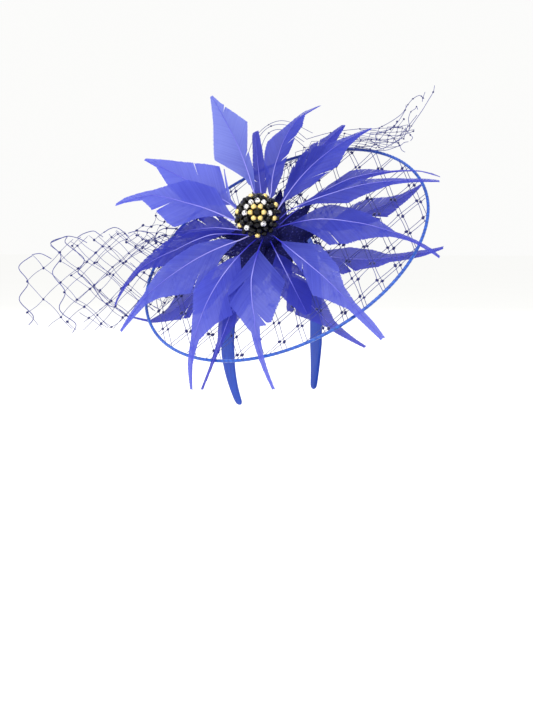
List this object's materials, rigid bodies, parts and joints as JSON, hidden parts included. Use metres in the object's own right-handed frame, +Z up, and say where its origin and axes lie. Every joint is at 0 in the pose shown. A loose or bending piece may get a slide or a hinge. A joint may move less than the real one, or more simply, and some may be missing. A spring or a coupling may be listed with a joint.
{
  "type": "disc fascinator",
  "caption": "Oval net disc fascinator with a violet-blue trimmed feather flower, beaded button centre, dark petal base and spotted veiling, on a covered blue headband.",
  "frame": {"origin": "The middle of the headband's inner face at its highest point, where it sits on the crown of the head.", "axes": "+Z is up out of the crown. The wearer faces -Y, and the wearer's right is -X, the side that the disc sits on."},
  "size_m": [0.2207, 0.3462, 0.2554],
  "materials": {
    "satin_blue": "cobalt blue satin cover, soft sheen",
    "felt_blue": "blue felt, matt",
    "cord_blue": "bright blue satin-wound cord",
    "net_navy": "navy millinery net with paired dots",
    "petal_navy": "dark navy textured cloth petals",
    "feather_blue": "dyed violet-blue feather with lilac quill",
    "bead_black": "faceted black glass-like beads",
    "bead_gold": "polished pale gold beads",
    "bead_clear": "clear faceted beads"
  },
  "bodies": {
    "root": {"headband": "satin_blue", "mount_pad": "felt_blue", "hoop": "cord_blue", "hoop_net": "net_navy", "petal_base": "petal_navy", "feather_01": "feather_blue", "feather_02": "feather_blue", "feather_03": "feather_blue", "feather_04": "feather_blue", "feather_05": "feather_blue", "feather_06": "feather_blue", "feather_07": "feather_blue", "feather_08": "feather_blue", "feather_09": "feather_blue", "feather_10": "feather_blue", "feather_11": "feather_blue", "feather_12": "feather_blue", "feather_13": "feather_blue", "feather_14": "feather_blue", "feather_15": "feather_blue", "feather_16": "feather_blue", "feather_17": "feather_blue", "feather_18": "feather_blue", "feather_19": "feather_blue", "feather_20": "feather_blue", "feather_21": "feather_blue", "feather_22": "feather_blue", "bead_dome": "bead_black", "gold_bead_01": "bead_gold", "gold_bead_02": "bead_gold", "gold_bead_03": "bead_gold", "gold_bead_04": "bead_gold", "gold_bead_05": "bead_gold", "gold_bead_06": "bead_gold", "gold_bead_07": "bead_gold", "gold_bead_08": "bead_gold", "gold_bead_09": "bead_gold", "gold_bead_10": "bead_gold", "gold_bead_11": "bead_gold", "gold_bead_12": "bead_gold", "gold_bead_13": "bead_gold", "clear_bead_01": "bead_clear", "clear_bead_02": "bead_clear", "clear_bead_03": "bead_clear", "clear_bead_04": "bead_clear", "clear_bead_05": "bead_clear", "clear_bead_06": "bead_clear", "clear_bead_07": "bead_clear", "clear_bead_08": "bead_clear", "side_veil": "net_navy", "side_veil_inner": "net_navy", "top_wisp": "net_navy"}
  },
  "joints": []
}
